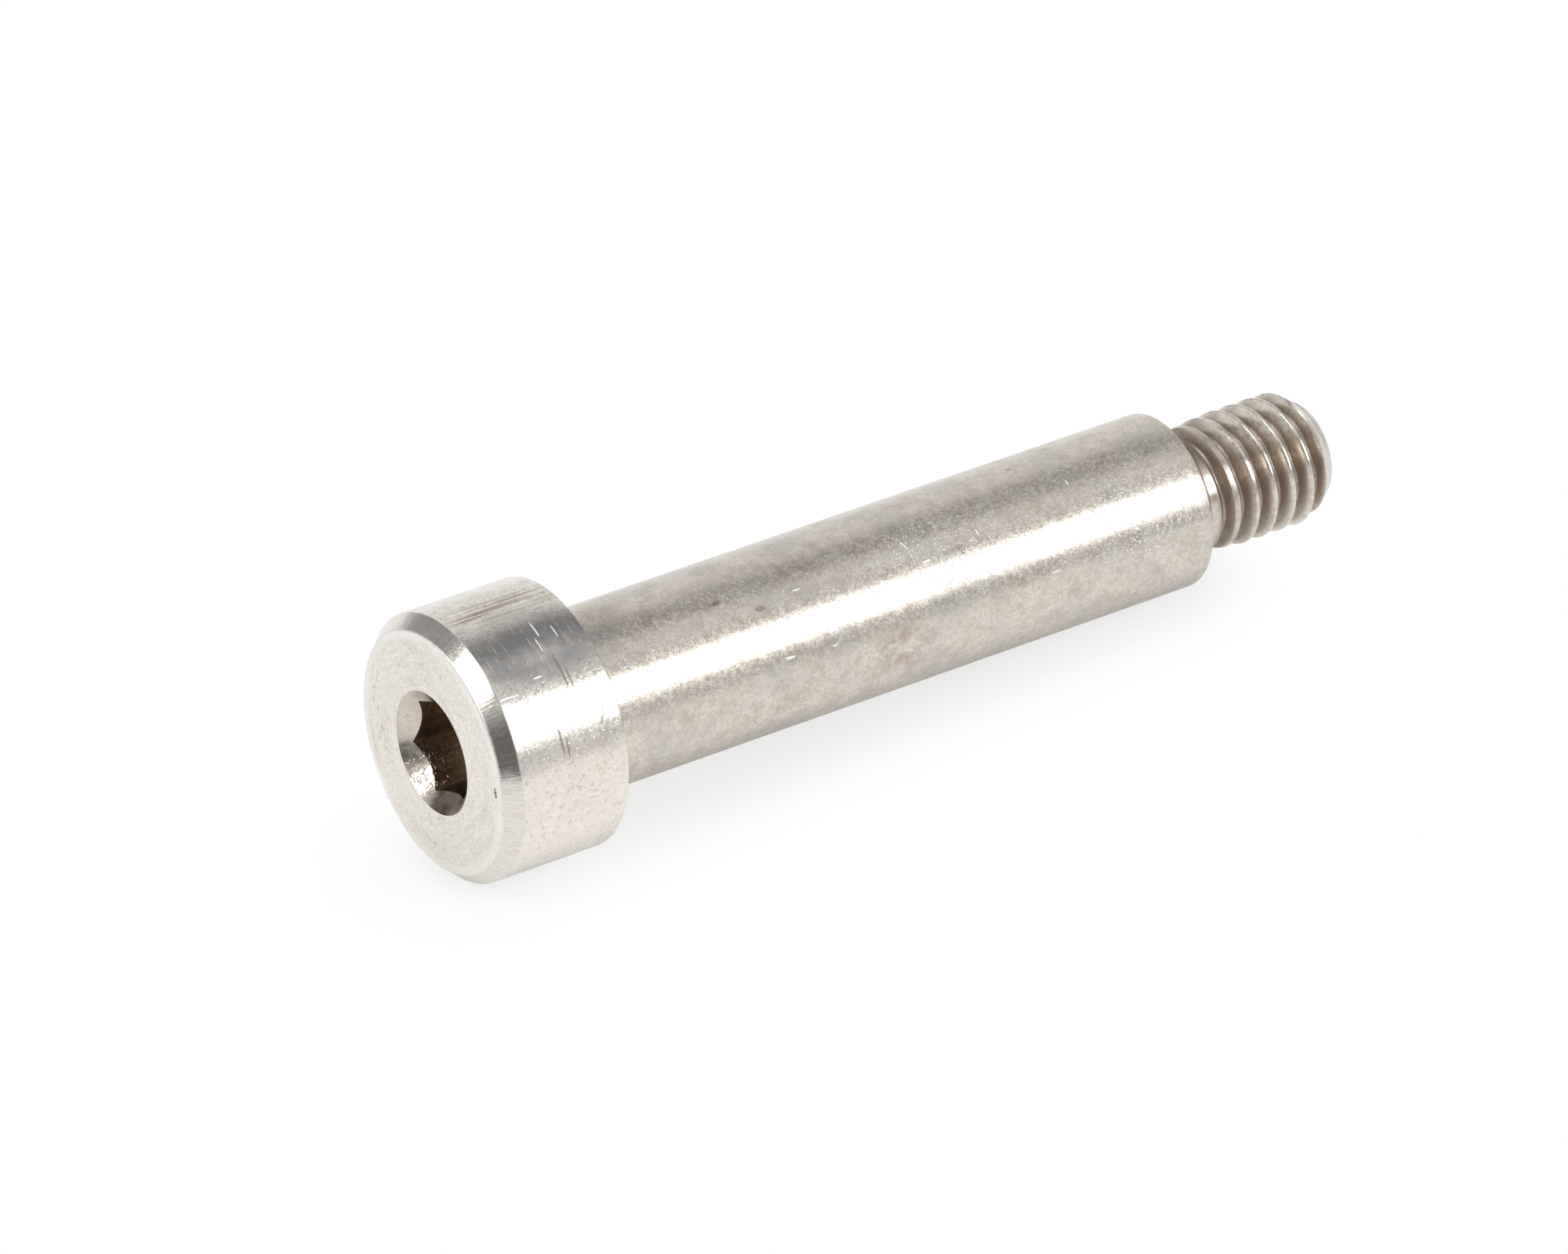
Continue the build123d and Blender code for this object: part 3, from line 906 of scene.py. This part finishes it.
def paper_finish(name, centre, along, half_length, fade):
    """White paper, dimmer close under a bolt that lies on it, faded at its edge and unseen from below."""
    material = bpy.data.materials.new(name)
    material.use_nodes = True
    tree = material.node_tree
    tree.nodes.remove(tree.nodes["Principled BSDF"])
    nodes = Nodes(tree)
    spot = nodes.vector("SUBTRACT", nodes.add("ShaderNodeTexCoord", out="Object"), tuple(centre))
    reach = nodes.vector("DOT_PRODUCT", spot, tuple(along))
    inside = reach.at_least(-half_length).at_most(half_length)
    nearest = nodes.vector("SCALE", tuple(along), None, None, inside)
    gap = nodes.vector("DISTANCE", spot, nearest)
    camera = nodes.add("ShaderNodeLightPath", out="Is Camera Ray")
    glossy = nodes.add("ShaderNodeLightPath", out="Is Glossy Ray")
    transmission = nodes.add("ShaderNodeLightPath", out="Is Transmission Ray")
    seen = camera * gap.ramp(CONTACT_GAP, SHADE_REACH, SHADE_WHITE, 1.0)
    mirrored = glossy.at_least(transmission) * gap.ramp(CONTACT_GAP, MIRRORED_REACH, MIRRORED_WHITE, 1.0)
    paper = nodes.add("ShaderNodeBsdfDiffuse", PAPER_COLOUR)
    white = nodes.add("ShaderNodeEmission", (1, 1, 1, 1), 1.0)
    surface = nodes.add("ShaderNodeMixShader", seen + mirrored, paper, white)
    gone = nodes.add("ShaderNodeBsdfTransparent")
    underside = nodes.add("ShaderNodeNewGeometry", out="Backfacing")
    hidden = underside.at_least(nodes.vector("LENGTH", spot).ramp(*fade))
    nodes.feed(tree.nodes["Material Output"], 0, nodes.add("ShaderNodeMixShader", hidden, surface, gone))
    return material


def paper_sheet(name, centre, right, away, half_size, finish):
    mesh = bpy.data.meshes.new(name)
    signs = ((-1, -1), (1, -1), (1, 1), (-1, 1))
    corners = [centre + right * x * half_size + away * y * half_size for x, y in signs]
    mesh.from_pydata(corners, [], [(0, 1, 2, 3)])
    mesh.materials.append(finish)
    sheet = placed(name, mesh)
    return sheet


TABLE_HALF_SIZE = 0.1
TABLE_FADE = (0.035, 0.07)             # distances from the middle where the paper starts to fade and is gone
BENCH_HALF_SIZE = 0.2
BENCH_FADE = (0.05, 0.15)
BENCH_GAP = 0.02 * MM


def make_table():
    """The sheet that the bolt lies on, touching the head's rim and the shoulder's end."""
    lowest = AXIS * HEAD_HEIGHT - Vector((cos(UP_SIDE), sin(UP_SIDE), 0)) * HEAD_R
    middle = AXIS * (SHOULDER_END / 2)
    under = middle + TABLE_UP * (lowest.dot(TABLE_UP) - middle.dot(TABLE_UP))
    finish = paper_finish("table paper", under, ALONG, SHOULDER_END / 2 - 1.0 * MM, TABLE_FADE)
    paper_sheet("lying_floor", under, TABLE_RIGHT, TABLE_AWAY, TABLE_HALF_SIZE, finish)


def make_bench():
    """The sheet under the head, where the bolt stands. It is only seen, and changes no light."""
    right = Vector((1, 0, 0))
    away = Vector((0, 1, 0))
    finish = paper_finish("bench paper", Vector(), right, 0.0, BENCH_FADE)
    bench = paper_sheet("standing_floor", AXIS * -BENCH_GAP, right, away, BENCH_HALF_SIZE, finish)
    bench.visible_shadow = False
    bench.visible_diffuse = False
    bench.visible_glossy = False


bpy.context.scene.view_settings.view_transform = "Standard"
make_camera()
make_room()
make_softbox("right softbox", (0.815, -0.262, 0.512), 12.45, 4.0)
make_softbox("left softbox", (-0.64, -0.29, 0.71), 14, 4.2)
make_table()
make_bench()
make_bolt()
